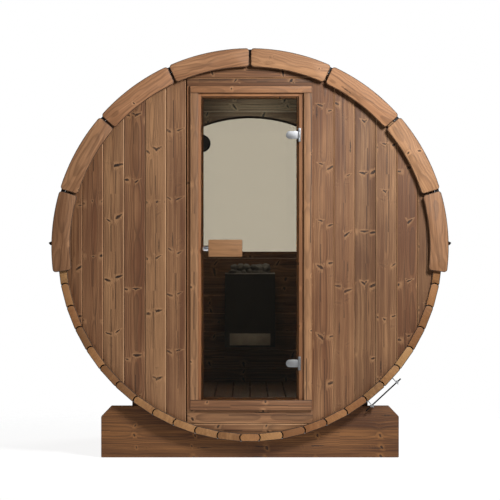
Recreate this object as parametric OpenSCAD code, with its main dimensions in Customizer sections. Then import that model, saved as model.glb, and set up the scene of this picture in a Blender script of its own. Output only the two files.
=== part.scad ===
// Barrel sauna: a horizontal stave barrel on a two-plank cradle, with a glass door in the front wall.
// Frame: origin on the ground under the middle of the barrel, +Z up, the door faces -Y.

/* [Barrel] */
// Radius of the barrel over the corners of its staves
barrel_r = 1000; // [900:5:1200]
// Length of the staves
stave_l = 1800; // [1500:10:2400]
// Thickness of a stave
stave_t = 42; // [35:1:56]
// Number of full-width staves
stave_count = 51; // [43:2:61]
// Angle filled by the narrow keel stave
keel_angle = 5.4; // [4.6:0.1:6.5]
// Joint gap between two staves
stave_gap = 0.5; // [0.3:0.1:0.8]
// Size of the bevel along the edges of a stave
stave_bevel = 5; // [2:0.5:6]
// Depth of the groove that holds an end wall
croze_depth = 10; // [6:1:14]
// Height of the barrel's underside above the ground
underside_z = 90; // [70:5:160]

/* [End walls] */
// Distance from the end of the staves to the outer face of an end wall
wall_recess = 22; // [18:1:60]
// Thickness of an end wall
wall_t = 42; // [35:1:56]
// Clearance of an end wall in its groove
wall_clear = 0.5; // [0.3:0.1:0.8]

/* [Doorway] */
// Width of the clear opening
door_w = 510; // [460:5:560]
// Height of the clear opening
door_h = 1580; // [1400:10:1600]
// Height of the opening's lower edge above the underside of the barrel
sill_rise = 215; // [200:5:260]
// Width of a door post
post_w = 72; // [70:1:90]
// Visible width of the frame on the latch side
reveal_latch = 14; // [10:1:20]
// Visible width of the frame on the hinge side
reveal_hinge = 25; // [14:1:28]
// Visible height of the frame over the glass
reveal_head = 17; // [12:1:24]
// Width of the casing boards beside the door
casing_w = 42; // [35:1:50]
// Height of the casing board over the door
casing_head_h = 36; // [30:1:50]
// Height of the sill board
sill_h = 52; // [40:1:60]
// Thickness of the casing boards
casing_t = 18; // [14:1:22]
// Width of the stop strip that shows behind the glass
stop_w = 13; // [8:1:14]

/* [Door] */
// Thickness of the glass
glass_t = 8; // [6:1:10]
// Running gap around the glass
door_gap = 5; // [4:0.5:8]
// Distance of the upper hinge's middle from the glass's top edge
hinge_top_inset = 196; // [120:1:400]
// Distance of the lower hinge's middle from the glass's bottom edge
hinge_bottom_inset = 186; // [120:1:400]
// Height of a hinge barrel
hinge_h = 70; // [60:1:90]
// Diameter of a hinge barrel
hinge_d = 12; // [11:0.5:14]
// Length of the clamp that holds the glass
clamp_l = 63; // [50:1:80]
// Height of that clamp
clamp_h = 39; // [30:1:50]
// Length of the handle block
handle_l = 176; // [120:1:200]
// Height of the handle block
handle_h = 89; // [60:1:100]
// Depth of the outer handle block
handle_t = 35; // [25:1:40]
// Distance of the handle's middle from the glass edge
handle_inset = 122; // [110:1:130]
// Diameter of the roller catch
latch_d = 31; // [24:1:34]

/* [Trim rings] */
// Thickness of the fascia boards
trim_t = 22; // [16:1:36]
// Outer radius of the fascia beyond that of the barrel
trim_over = 30; // [24:1:40]
// Radial width of a fascia board
trim_w = 97; // [80:1:120]
// Rise of the ring's centre over the barrel's axis
trim_rise = 12; // [0:1:20]
// Angle from one fascia board to the next
trim_pitch = 24.42; // [20:0.01:26]
// Number of fascia boards on each side
trim_boards = 4; // [3:1:5]
// Gap between two fascia boards
trim_gap = 9; // [4:1:10]
// Radius of the corners of a fascia board
trim_corner = 16; // [4:1:16]

/* [Roof and bands] */
// Thickness of the roof felt
felt_t = 4; // [2:0.5:6]
// Height above the barrel's axis at which the felt ends
felt_end = 52; // [30:1:120]
// Reach of the drip edge beyond the felt
drip_reach = 39; // [30:1:45]
// Thickness of the drip edge
drip_t = 3; // [2:0.5:4]
// Width of a tension band
band_w = 25; // [20:1:40]
// Thickness of a tension band
band_t = 1.5; // [1:0.1:2]
// Distance of a band's middle from the end of the staves
band_inset = 55; // [45:1:70]
// Position of the tensioner, from straight down towards +X
tensioner_angle = 42.85; // [30:0.05:55]
// Distance from the tensioner's middle to each lug
lug_half = 85; // [60:1:110]
// Height of the threaded rod above the barrel
rod_lift = 30; // [24:1:40]
// Diameter of the threaded rod
rod_d = 8; // [6:1:10]

/* [Cradle] */
// Width of the front cradle plank
cradle_w = 1558; // [1300:2:1800]
// Width of the rear cradle plank
cradle_rear_w = 1380; // [1300:2:1800]
// Height of the cradle planks
cradle_h = 270; // [220:2:320]
// Thickness of the cradle planks
cradle_t = 45; // [40:1:70]
// Distance from the end of the staves to the outer face of a plank
cradle_inset = 90; // [75:1:400]
// Width of the slanted corner
cradle_corner_w = 53; // [20:1:80]
// Height of the slanted corner
cradle_corner_h = 55; // [20:1:80]
// Distance from the middle to the outer face of a bearer
bearer_x = 618; // [560:1:680]
// Thickness of a bearer
bearer_t = 45; // [35:1:70]
// Height of a bearer below the plank's top
bearer_drop = 95; // [60:1:140]

/* [Rear window] */
// Radius of the half-round window
window_r = 806; // [700:2:840]
// Height of the window's flat edge below the barrel's axis
window_drop = 14; // [0:1:60]
// Width of the bead that holds the pane
bead_w = 12; // [8:1:20]
// Thickness of the pane
pane_t = 8; // [4:1:10]
// Radius of the round vent
vent_r = 52; // [40:1:70]
// Direction of the vent from the window's middle, from straight up towards +X
vent_angle = -24; // [-60:1:60]
// Distance of the vent's middle from the window's arch
vent_inset = 102; // [90:1:300]

/* [Inside] */
// Depth of the walking surface below the sill
floor_drop = 3; // [0:1:40]
// Thickness of the floor slats
slat_t = 26; // [18:1:32]
// Width of a floor slat
slat_w = 88; // [60:1:120]
// Gap between two floor slats
slat_gap = 8; // [4:1:14]
// Number of floor slats
slat_count = 10; // [6:1:10]
// Thickness of a floor joist
joist_t = 45; // [35:1:60]
// Width of the heater
heater_w = 292; // [240:1:400]
// Depth of the heater
heater_d = 240; // [200:1:300]
// Height of the heater's housing
heater_h = 432; // [350:1:560]
// Depth of the housing's rim below the barrel's axis
heater_rim_drop = 139; // [60:1:240]
// Gap between the heater and the rear wall
heater_gap = 20; // [10:1:60]
// Rise of the stones over the rim
stone_rise = 62; // [30:1:80]

/* [Hidden] */
$fn = 96;

eps = 1;                                      // overshoot of a cutting body
touch = 0.3;                                  // gap between curved faces that rest on each other
axis_z = underside_z + barrel_r;
stave_pitch = (360 - keel_angle) / stave_count;
stave_half = stave_pitch / 2;
side_staves = (stave_count - 1) / 2;
inner_flat = flat_of(stave_half);             // distance of a stave's inner face from the axis
stave_y = stave_l / 2;

wall_y = stave_y - wall_recess;               // outer face of an end wall
wall_in_y = wall_y - wall_t;                  // inner face of an end wall
wall_r = inner_flat + croze_depth - wall_clear;

sill_z = underside_z + sill_rise;
lintel_z = sill_z + door_h;
half_door = door_w / 2;
post_seam = half_door + post_w;               // seam between a post and the wall beside it
casing_left = half_door + reveal_latch;       // inner edges of the casing
casing_right = half_door + reveal_hinge;
casing_top = lintel_z + reveal_head;
foot_z = sill_z - sill_h;
head_z = casing_top + casing_head_h;
post_lap = 0.5;                               // joint between a wall section and its neighbour

// The glass lies flush with the wall's outer face, and the hinge axis lies in front of it
glass_half = half_door - door_gap;
glass_y = -wall_y;
hinge_x = half_door;
hinge_y = -wall_y - hinge_d / 2 - touch;
hinge_pin_d = 6;
hinge_play = 0.3;
hinge_leaf_h = hinge_h * 0.4;
clamp_t = 9;
clamp_back_t = 6;
stop_t = 24;
stop_y = glass_y + glass_t + door_gap;

band_r = barrel_r + touch;
felt_r = band_r + band_t + 0.5;
felt_out = felt_r + felt_t;
upturn_t = 3;
upturn_drop = 5;                              // depth of the upturn's edge below the fascia's
tensioner_r = barrel_r + rod_lift;
lug_t = 5;
lug_over = 12;
rod_play = 0.4;
rod_tail = 130;
rod_head = 117;
nut_h = 8;
nut_r = rod_d * 0.9;

cradle_y = stave_y - cradle_inset;            // outer face of a cradle plank
cradle_in_y = cradle_y - cradle_t;
cradle_cut_r = barrel_r + touch;

pane_seat = 12;                               // depth of the pane behind the wall's outer face
pane_over = 14;                               // lap of the pane into its rebate
rebate_clear = 0.5;
window_z = axis_z - window_drop;
arc_split = 50;                               // half angle of the crown section of the rear wall

floor_z = sill_z - floor_drop;
joist_h = 70;
joist_r = inner_flat - touch;
joist_count = 4;
heater_y = wall_in_y - heater_gap - heater_d;
heater_rim_z = axis_z - heater_rim_drop;
heater_sheet = 3;
stone_depth = 60;
bracket_w = 40;

// Distance from the axis to the inner face of a stave with this half angle
function flat_of(half) = (barrel_r - stave_t) * cos(half) + (stave_bevel + stave_gap / 2) * sin(half);

// Runs a 2D outline (x to the right, y up from the ground) from y0 to y1
module along(y0, y1) {
    translate([0, y1, 0]) rotate([90, 0, 0]) linear_extrude(y1 - y0) children();
}

// A disc round the barrel's axis, as an outline
module axis_disc(r) {
    translate([0, axis_z]) circle(r, $fn = 180);
}

// The same shape at the rear, by mirroring
module at_rear() {
    mirror([0, 1, 0]) children();
}

// ---- Staves ----

bead_r = stave_t * 0.488;
bead_out = stave_t / 6;
cove_r = bead_r + stave_gap;
arc_steps = 6;

// A point beside the joint line of a stave: t outwards along the line, n across it
function joint_point(half, t, n) = let (r = barrel_r - stave_t / 2)
    [(r + t) * sin(half) + n * cos(half), (r + t) * cos(half) - n * sin(half)];

// The rounded edge that stands out of a stave
function bead_edge(half) = let (n0 = -stave_gap / 2, phi = acos((bead_r - bead_out) / bead_r))
    [for (i = [0:arc_steps]) let (a = phi * (2 * i / arc_steps - 1))
        joint_point(half, bead_r * sin(a), n0 - (bead_r - bead_out) + bead_r * cos(a))];

// The hollow edge that takes the neighbour's bead
function cove_edge(half) = let (n0 = stave_gap / 2 + bead_r - bead_out,
        phi = acos((n0 + stave_gap / 2) / cove_r))
    [for (i = [0:arc_steps]) let (a = phi * (2 * i / arc_steps - 1))
        joint_point(half, cove_r * sin(a), n0 - cove_r * cos(a))];

// One edge of a stave with its bevels, from the inside out
function stave_edge(half, bead) = let (h = stave_t / 2, n0 = -stave_gap / 2, c = stave_bevel)
    concat([joint_point(half, -h, n0 - c)], [joint_point(half, -h + c, n0)],
        bead ? bead_edge(half) : cove_edge(half),
        [joint_point(half, h - c, n0)], [joint_point(half, h, n0 - c)]);

function flip(points) = [for (i = [len(points) - 1:-1:0]) [-points[i][0], points[i][1]]];

// Cross-section of a stave, with a bead or a cove on each edge
module stave_outline(half, bead_left, bead_right) {
    polygon(concat(stave_edge(half, bead_right), flip(stave_edge(half, bead_left))));
}

// A stave at an angle from the top towards +X, grooved for both end walls
module stave(angle, half, bead_left, bead_right) {
    flat = flat_of(half);
    translate([0, 0, axis_z]) rotate([0, angle, 0]) difference() {
        along(-stave_y, stave_y) stave_outline(half, bead_left, bead_right);
        for (s = [-1, 1])
            translate([-barrel_r / 2, s * (wall_y - wall_t / 2) - wall_t / 2 - wall_clear, flat - croze_depth])
                cube([barrel_r, wall_t + 2 * wall_clear, 2 * croze_depth]);
    }
}

// Staves from first to last, counted from the top towards +X
module stave_run(first, last) {
    for (i = [first:last])
        stave(i * stave_pitch, stave_half, i > 0, i < 0);
}

crown_last = round(side_staves * 0.14);
shoulder_last = round(side_staves * 0.38);
side_last = round(side_staves * 0.62);
belly_last = round(side_staves * 0.86);

module staves_crown() { color("#8a6142") stave_run(-crown_last, crown_last); }
module staves_shoulder_right() { color("#8f6646") stave_run(crown_last + 1, shoulder_last); }
module staves_shoulder_left() { color("#8f6646") stave_run(-shoulder_last, -crown_last - 1); }
module staves_side_right() { color("#94694a") stave_run(shoulder_last + 1, side_last); }
module staves_side_left() { color("#94694a") stave_run(-side_last, -shoulder_last - 1); }
module staves_belly_right() { color("#996f4d") stave_run(side_last + 1, belly_last); }
module staves_belly_left() { color("#996f4d") stave_run(-belly_last, -side_last - 1); }
module staves_keel() {
    color("#9e7350") {
        stave_run(belly_last + 1, side_staves);
        stave_run(-side_staves, -belly_last - 1);
        stave(180, keel_angle / 2, true, true);
    }
}

// ---- Cradle ----

module cradle_plank(width) {
    half = width / 2;
    along(-cradle_y, -cradle_in_y) difference() {
        polygon([[-half, 0], [half, 0], [half, cradle_h - cradle_corner_h],
            [half - cradle_corner_w, cradle_h], [cradle_corner_w - half, cradle_h],
            [-half, cradle_h - cradle_corner_h]]);
        axis_disc(cradle_cut_r);
    }
}

module cradle_front() { color("#87593c") cradle_plank(cradle_w); }
module cradle_rear() { color("#87593c") at_rear() cradle_plank(cradle_rear_w); }

// A bearer between the planks, hollowed on top to the barrel
module bearer(x) {
    along(-cradle_in_y, cradle_in_y) difference() {
        translate([x, cradle_h - bearer_drop]) square([bearer_t, barrel_r / 2]);
        axis_disc(cradle_cut_r);
        translate([x - eps, axis_z]) square([bearer_t + 2 * eps, barrel_r]);
    }
}

module cradle_bearer_right() { color("#7d5237") bearer(bearer_x - bearer_t); }
module cradle_bearer_left() { color("#7d5237") bearer(-bearer_x); }

// ---- Front wall ----

module front_slab() { along(-wall_y, -wall_in_y) children(); }

module front_wall_left() {
    color("#8d6345") front_slab() intersection() {
        axis_disc(wall_r);
        translate([-barrel_r - post_seam, 0]) square([barrel_r, 2 * axis_z]);
    }
}

module front_wall_right() {
    color("#8d6345") front_slab() intersection() {
        axis_disc(wall_r);
        translate([post_seam, 0]) square([barrel_r, 2 * axis_z]);
    }
}

post_half = post_seam - post_lap;

module front_wall_head() {
    color("#8a6043") front_slab() intersection() {
        axis_disc(wall_r);
        translate([-post_half, head_z]) square([2 * post_half, barrel_r]);
    }
}

module front_wall_foot() {
    color("#8a6043") front_slab() intersection() {
        axis_disc(wall_r);
        translate([-post_half, foot_z - barrel_r]) square([2 * post_half, barrel_r]);
    }
}

// ---- Doorway ----

// Two posts, a lintel and a threshold, as thick as the wall
module door_posts() {
    lap_z0 = foot_z + post_lap;
    lap_z1 = head_z - post_lap;
    color("#a06b45") front_slab() {
        translate([-post_half, lap_z0]) square([post_half - half_door, lap_z1 - lap_z0]);
        translate([half_door, lap_z0]) square([post_half - half_door, lap_z1 - lap_z0]);
        translate([-half_door + post_lap, lintel_z]) square([door_w - 2 * post_lap, lap_z1 - lintel_z]);
        translate([-half_door + post_lap, lap_z0]) square([door_w - 2 * post_lap, sill_z - lap_z0]);
    }
}

// Four flat boards round the doorway, on the face of the wall
module door_casing() {
    x0 = -casing_left - casing_w;
    width = casing_left + casing_right + 2 * casing_w;
    color("#a3714c") along(-wall_y - casing_t, -wall_y) {
        translate([x0, casing_top]) square([width, casing_head_h]);
        translate([x0, foot_z]) square([width, sill_h]);
        translate([x0, sill_z + post_lap]) square([casing_w, casing_top - sill_z - 2 * post_lap]);
        translate([casing_right, sill_z + post_lap]) square([casing_w, casing_top - sill_z - 2 * post_lap]);
    }
}

// Strips behind the glass, on both sides, over it and under it
module door_stops() {
    side_h = door_h - 2 * post_lap;
    color("#6f4c35") along(stop_y, stop_y + stop_t) {
        translate([-half_door, sill_z + post_lap]) square([stop_w, side_h]);
        translate([half_door - stop_w, sill_z + post_lap]) square([stop_w, side_h]);
        translate([-half_door + stop_w + post_lap, lintel_z - stop_w])
            square([door_w - 2 * stop_w - 2 * post_lap, stop_w]);
        translate([-half_door + stop_w + post_lap, sill_z])
            square([door_w - 2 * stop_w - 2 * post_lap, stop_w]);
    }
}

// ---- Hinges ----

hinge_z = [sill_z + door_gap + hinge_bottom_inset, lintel_z - door_gap - hinge_top_inset];

module at_hinges() {
    for (z = hinge_z)
        translate([hinge_x, hinge_y, z]) children();
}

// Fixed half of a hinge: a leaf on the post, two knuckles and the pin
module hinge_plate() {
    knuckle_h = (hinge_h - hinge_leaf_h) / 2 - hinge_play;
    leaf_t = 3;
    leaf_w = 3;                               // visible edge of the leaf beside the knuckles
    for (s = [-1, 1])
        translate([0, 0, s * (hinge_h - knuckle_h) / 2]) cylinder(d = hinge_d, h = knuckle_h, center = true);
    cylinder(d = hinge_pin_d, h = hinge_h, center = true);
    translate([hinge_d / 2 + hinge_play, -wall_y - leaf_t - hinge_y, -hinge_h / 2])
        cube([leaf_w, leaf_t, hinge_h]);
    for (s = [-1, 1])
        translate([0, -wall_y - leaf_t - hinge_y, s * (hinge_h - knuckle_h) / 2 - knuckle_h / 2])
            cube([hinge_d / 2 + hinge_play + eps, leaf_t, knuckle_h]);
}

module hinge_plates() {
    color("#c4c7c9") at_hinges() hinge_plate();
}

// Moving half: a knuckle round the pin and a round-nosed pad on each face of the glass
module door_clamp() {
    pad_in = hinge_x - glass_half;
    front_y = -wall_y - hinge_y;
    neck_t = clamp_t - 2;
    difference() {
        union() {
            cylinder(d = hinge_d, h = hinge_leaf_h, center = true);
            translate([-pad_in - clamp_l + clamp_h / 2, front_y - clamp_t, -clamp_h / 2])
                cube([clamp_l - clamp_h / 2 + eps, clamp_t, clamp_h]);
            translate([-pad_in - clamp_l + clamp_h / 2, front_y, 0])
                rotate([90, 0, 0]) cylinder(d = clamp_h, h = clamp_t);
            translate([-pad_in, front_y - clamp_t, -hinge_leaf_h / 2])
                cube([pad_in, neck_t, hinge_leaf_h]);
        }
        cylinder(d = hinge_pin_d + 2 * hinge_play, h = hinge_h, center = true);
        // Room for the fixed knuckles where the pad is taller than the moving one
        for (s = [-1, 1])
            translate([-hinge_d / 2 - eps, -hinge_d, s * (hinge_leaf_h / 2 + clamp_h / 2) - clamp_h / 2])
                cube([2 * hinge_d, 2 * hinge_d, clamp_h]);
    }
}

// Inner pad behind the glass, short of the stop strip
module clamp_back() {
    back_y = -wall_y - hinge_y + glass_t;
    nose = clamp_h / 2;
    x1 = -stop_w - door_gap;
    x0 = -(hinge_x - glass_half) - clamp_l + nose;
    translate([x0, back_y, -nose]) cube([x1 - x0, clamp_back_t, clamp_h]);
    translate([x0, back_y + clamp_back_t, 0]) rotate([90, 0, 0]) cylinder(r = nose, h = clamp_back_t);
}

module door_clamps() {
    color("#c4c7c9") at_hinges() {
        door_clamp();
        clamp_back();
    }
}

// ---- Door leaf ----

module door_glass() {
    color("#3c342b", 0.6) along(glass_y, glass_y + glass_t)
        translate([-glass_half, sill_z + door_gap]) square([2 * glass_half, door_h - 2 * door_gap]);
}

handle_x = -glass_half + handle_inset;
handle_rise = 5;                              // height of the handle's middle above the axis
catch_drop = 2;                               // depth of the catch's middle below that

// A block of wood on each face of the glass
module door_handle() {
    color("#a5744e") {
        translate([handle_x - handle_l / 2, glass_y - handle_t, axis_z + handle_rise - handle_h / 2])
            cube([handle_l, handle_t, handle_h]);
        translate([handle_x - handle_l / 2, glass_y + glass_t, axis_z + handle_rise - handle_h / 2])
            cube([handle_l, handle_t, handle_h]);
    }
}

// Roller catch between the handle and the edge of the glass: a round-nosed roller on a foot
module door_catch() {
    catch_l = handle_x - handle_l / 2 + glass_half - touch;
    nose = latch_d / 2;
    color("#cfd2d4") translate([-glass_half, glass_y, axis_z + handle_rise - catch_drop]) {
        translate([nose, -nose, 0]) {
            rotate([0, 90, 0]) cylinder(d = latch_d, h = catch_l - nose);
            sphere(d = latch_d);
        }
        translate([nose / 2, -nose, -nose / 2]) cube([catch_l - nose / 2, nose, nose]);
    }
}

// ---- Rear wall and window ----

module window_outline(r, drop) {
    intersection() {
        translate([0, window_z]) circle(r, $fn = 180);
        translate([-barrel_r, window_z - drop]) square([2 * barrel_r, 2 * barrel_r]);
    }
}

module wedge(a0, a1) {
    reach = 2 * barrel_r;
    translate([0, axis_z])
        polygon([[0, 0], [reach * sin(a0), reach * cos(a0)],
            [reach * sin((a0 + a1) / 2), reach * cos((a0 + a1) / 2)],
            [reach * sin(a1), reach * cos(a1)]]);
}

// An end wall section with the window cut out and a rebate for the pane round it
module rear_section() {
    rebate = pane_over + rebate_clear;
    difference() {
        along(wall_in_y, wall_y) children();
        along(wall_in_y - eps, wall_y + eps) window_outline(window_r, 0);
        along(wall_y - pane_seat - pane_t - rebate_clear, wall_y + eps)
            window_outline(window_r + rebate, rebate);
    }
}

module rear_wall_lower() {
    color("#86603f") rear_section() intersection() {
        axis_disc(wall_r);
        translate([-barrel_r, window_z - barrel_r]) square([2 * barrel_r, barrel_r]);
    }
}

module rear_arch(a0, a1) {
    rear_section() intersection() {
        axis_disc(wall_r);
        wedge(a0, a1);
        translate([-barrel_r, window_z + post_lap]) square([2 * barrel_r, barrel_r]);
    }
}

seam_angle = post_lap / 16;
arch_end = 100;                               // past the window's flat edge
module rear_wall_crown() { color("#86603f") rear_arch(-arc_split, arc_split); }
module rear_wall_right() { color("#86603f") rear_arch(arc_split + seam_angle, arch_end); }
module rear_wall_left() { color("#86603f") rear_arch(-arch_end, -arc_split - seam_angle); }

module rear_window_pane() {
    lap = pane_over;
    color("#8f8a7c", 0.5) along(wall_y - pane_seat - pane_t, wall_y - pane_seat)
        window_outline(window_r + lap, lap);
}

// The arched and the straight bead that hold the pane in its rebate
module rear_window_beads() {
    y0 = wall_y - pane_seat;
    outer = window_r + pane_over;
    color("#a3714c") {
        along(y0, wall_y) difference() {
            window_outline(outer, -post_lap);
            translate([0, window_z]) circle(window_r - bead_w, $fn = 180);
        }
        along(y0, wall_y)
            translate([-outer, window_z - pane_over]) square([2 * outer, pane_over]);
    }
}

// A round vent through the pane's inner side: a rim with a mesh disc
module rear_vent() {
    y1 = wall_y - pane_seat - pane_t;
    reach = window_r - vent_inset;
    rim_t = 12;
    mesh_t = 3;
    rim_w = 8;
    color("#1c1c1c") translate([reach * sin(vent_angle), y1, window_z + reach * cos(vent_angle)])
        rotate([90, 0, 0]) difference() {
            cylinder(r = vent_r, h = rim_t);
            translate([0, 0, mesh_t]) cylinder(r = vent_r - rim_w, h = rim_t);
        }
}

// ---- Trim rings ----

trim_r = barrel_r + trim_over;
trim_z = axis_z + trim_rise;
trim_steps = 12;

function polar(r, a) = [r * sin(a), r * cos(a)];

// Angle that a length spans at a radius
function span(length, r) = asin(length / r);

// A corner arc round a centre, from angle b0 to b1
function corner(c, b0, b1) = [for (i = [0:4]) c + trim_corner * polar(1, b0 + (b1 - b0) * i / 4)];

// Outline of a fascia board between two angles, with rounded corners
function board_outline(a0, a1) = let (
        ro = trim_r - trim_corner, ri = trim_r - trim_w + trim_corner,
        o0 = a0 + span(trim_gap / 2 + trim_corner, ro), o1 = a1 - span(trim_gap / 2 + trim_corner, ro),
        i0 = a0 + span(trim_gap / 2 + trim_corner, ri), i1 = a1 - span(trim_gap / 2 + trim_corner, ri))
    concat(corner(polar(ro, o0), a0 - 90, o0),
        [for (i = [1:trim_steps - 1]) polar(trim_r, o0 + (o1 - o0) * i / trim_steps)],
        corner(polar(ro, o1), o1, a1 + 90), corner(polar(ri, i1), a1 + 90, i1 + 180),
        [for (i = [1:trim_steps - 1]) polar(trim_r - trim_w, i1 + (i0 - i1) * i / trim_steps)],
        corner(polar(ri, i0), i0 + 180, a0 + 270));

module trim_ring() {
    for (i = [-trim_boards:trim_boards - 1])
        along(-stave_y - trim_t, -stave_y) translate([0, trim_z])
            polygon(board_outline(i * trim_pitch, (i + 1) * trim_pitch));
}

module front_trim_ring() { color("#b98256") trim_ring(); }
module rear_trim_ring() { color("#b98256") at_rear() trim_ring(); }

// ---- Roof ----

// Keeps what lies over the felt's lower edge
module over_felt_end() {
    intersection() {
        children();
        translate([-2 * barrel_r, axis_z + felt_end]) square([4 * barrel_r, 2 * barrel_r]);
    }
}

// Felt over the upper half of the barrel, turned up behind each fascia
module roof_felt() {
    color("#232323") {
        along(-stave_y, stave_y) over_felt_end() difference() {
            axis_disc(felt_out);
            axis_disc(felt_r);
        }
        for (y = [-stave_y, stave_y - upturn_t])
            along(y, y + upturn_t) over_felt_end() difference() {
                translate([0, trim_z]) circle(trim_r - upturn_drop, $fn = 180);
                axis_disc(felt_out - eps);
            }
    }
}

// A flared strip under the lower edge of the felt, with its lip turned back in
module drip_edge() {
    bend = 2;
    fall = 16;
    knee = 3.5;
    lip_w = 8;
    lip_h = 11;
    x0 = felt_r;
    tip = felt_r + drip_reach + felt_t;
    z0 = axis_z + felt_end - post_lap;
    z1 = z0 - fall;
    along(-stave_y, stave_y)
        polygon([[x0, z0], [x0 + felt_t, z0], [x0 + felt_t + bend, z0 - bend],
            [tip - bend, z1], [tip, z1 - knee], [tip - lip_w, z1 - knee - lip_h],
            [tip - lip_w - drip_t, z1 - bend - lip_h], [tip - bend - drip_t, z1 - drip_t],
            [x0 + bend / 2, z0 - bend - drip_t]]);
}

module drip_edges() {
    color("#1d1d1d") {
        drip_edge();
        mirror([1, 0, 0]) drip_edge();
    }
}

// ---- Bands ----

band_open = asin(lug_half / tensioner_r);     // half angle between the two lugs

// Frame of the tensioner: x along the rod, z away from the barrel
module at_tensioner(y) {
    translate([0, y, axis_z]) rotate([0, 180 - tensioner_angle, 0]) translate([0, 0, tensioner_r]) children();
}

module band() {
    y = -stave_y + band_inset;
    a = 180 - tensioner_angle;
    lug_base = tensioner_r - sqrt(band_r * band_r - pow(lug_half + lug_t, 2));
    along(y - band_w / 2, y + band_w / 2) difference() {
        axis_disc(band_r + band_t);
        axis_disc(band_r);
        wedge(a - band_open, a + band_open);
    }
    at_tensioner(y) for (s = [-1, 1]) difference() {
        translate([s * (lug_half + lug_t / 2) - lug_t / 2, -band_w / 2, touch - lug_base])
            cube([lug_t, band_w, lug_base + lug_over - touch]);
        translate([s * lug_half, 0, 0]) rotate([0, 90, 0])
            cylinder(d = rod_d + 2 * rod_play, h = 4 * lug_t, center = true);
    }
}

module band_front() { color("#a9abad") band(); }
module band_rear() { color("#a9abad") at_rear() band(); }

// Threaded rod with a nut outside each lug
module tension_rod() {
    at_tensioner(-stave_y + band_inset) {
        translate([-rod_head, 0, 0]) rotate([0, 90, 0]) cylinder(d = rod_d, h = rod_head + rod_tail, $fn = 32);
        for (s = [-1, 1])
            translate([s * (lug_half + lug_t + nut_h / 2), 0, 0]) rotate([0, 90, 0])
                cylinder(r = nut_r, h = nut_h, center = true, $fn = 6);
    }
}

module tension_rod_front() { color("#8c8f92") tension_rod(); }
module tension_rod_rear() { color("#8c8f92") at_rear() tension_rod(); }

// ---- Inside ----

slats_w = slat_count * slat_w + (slat_count - 1) * slat_gap;

module floor_slats() {
    end_play = 1;
    length = 2 * (wall_in_y - end_play);
    color("#8f6a4a") for (i = [0:slat_count - 1])
        translate([-slats_w / 2 + i * (slat_w + slat_gap), -length / 2, floor_z - slat_t])
            cube([slat_w, length, slat_t]);
}

// Joists across the barrel under the slats, rounded to its inside
module floor_joists() {
    top = floor_z - slat_t;
    end_gap = 20;
    reach = wall_in_y - joist_t - end_gap;
    color("#7d5a3d") for (i = [0:joist_count - 1]) {
        y = -reach + i * 2 * reach / (joist_count - 1);
        along(y - joist_t / 2, y + joist_t / 2) intersection() {
            axis_disc(joist_r);
            translate([-barrel_r, top - joist_h]) square([2 * barrel_r, joist_h]);
        }
    }
}

// Open-topped steel housing on two rails that reach back to the rear wall
module heater_housing() {
    z0 = heater_rim_z - heater_h;
    color("#2e2e30") {
        difference() {
            translate([-heater_w / 2, heater_y, z0]) cube([heater_w, heater_d, heater_h]);
            translate([-heater_w / 2 + heater_sheet, heater_y + heater_sheet, z0 + heater_sheet])
                cube([heater_w - 2 * heater_sheet, heater_d - 2 * heater_sheet, heater_h]);
        }
        for (s = [-1, 1])
            translate([s * (heater_w / 2 - bracket_w) - bracket_w / 2, heater_y + heater_d - eps, z0 + bracket_w])
                cube([bracket_w, heater_gap + eps, heater_h - 3 * bracket_w]);
        // Shelf that carries the stones
        translate([-heater_w / 2 + eps, heater_y + eps, heater_rim_z - stone_depth - heater_sheet])
            cube([heater_w - 2 * eps, heater_d - 2 * eps, heater_sheet]);
    }
}

// One step of the heap of stones, drawn in from its sides by a share of its size
module stone_tier(w, d, inset_x, inset_y, rise) {
    translate([w * inset_x, d * inset_y, stone_depth - eps])
        cube([w * (1 - 2 * inset_x), d * (1 - 2 * inset_y), rise + eps]);
}

// A heap of stones, lowest at its edges
module heater_stones() {
    w = heater_w - 2 * heater_sheet - 2 * touch;
    d = heater_d - 2 * heater_sheet - 2 * touch;
    color("#56544f") translate([-w / 2, heater_y + heater_sheet + touch, heater_rim_z - stone_depth]) {
        cube([w, d, stone_depth]);
        stone_tier(w, d, 0.05, 0.08, stone_rise * 0.6);
        stone_tier(w, d, 0.14, 0.2, stone_rise);
    }
}

// Satin plate on the lower front of the heater
module heater_panel() {
    panel_w = 238;
    panel_h = 69;
    panel_t = 4;
    panel_lift = 11;
    color("#b9b4a6") translate([-panel_w / 2, heater_y - panel_t, heater_rim_z - heater_h + panel_lift])
        cube([panel_w, panel_t, panel_h]);
}

cradle_front();
cradle_rear();
cradle_bearer_left();
cradle_bearer_right();
staves_keel();
staves_belly_left();
staves_belly_right();
staves_side_left();
staves_side_right();
staves_shoulder_left();
staves_shoulder_right();
staves_crown();
front_wall_left();
front_wall_right();
front_wall_head();
front_wall_foot();
rear_wall_left();
rear_wall_right();
rear_wall_crown();
rear_wall_lower();
rear_window_beads();
rear_window_pane();
rear_vent();
front_trim_ring();
rear_trim_ring();
roof_felt();
drip_edges();
band_front();
band_rear();
tension_rod_front();
tension_rod_rear();
door_posts();
door_casing();
door_stops();
hinge_plates();
door_glass();
door_handle();
door_clamps();
door_catch();
floor_slats();
floor_joists();
heater_housing();
heater_stones();
heater_panel();
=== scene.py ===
"""Barrel sauna: the looks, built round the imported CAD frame. Every length is in metres."""
import math
import random

import bmesh
import bpy
from mathutils import Matrix, Vector, noise


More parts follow.
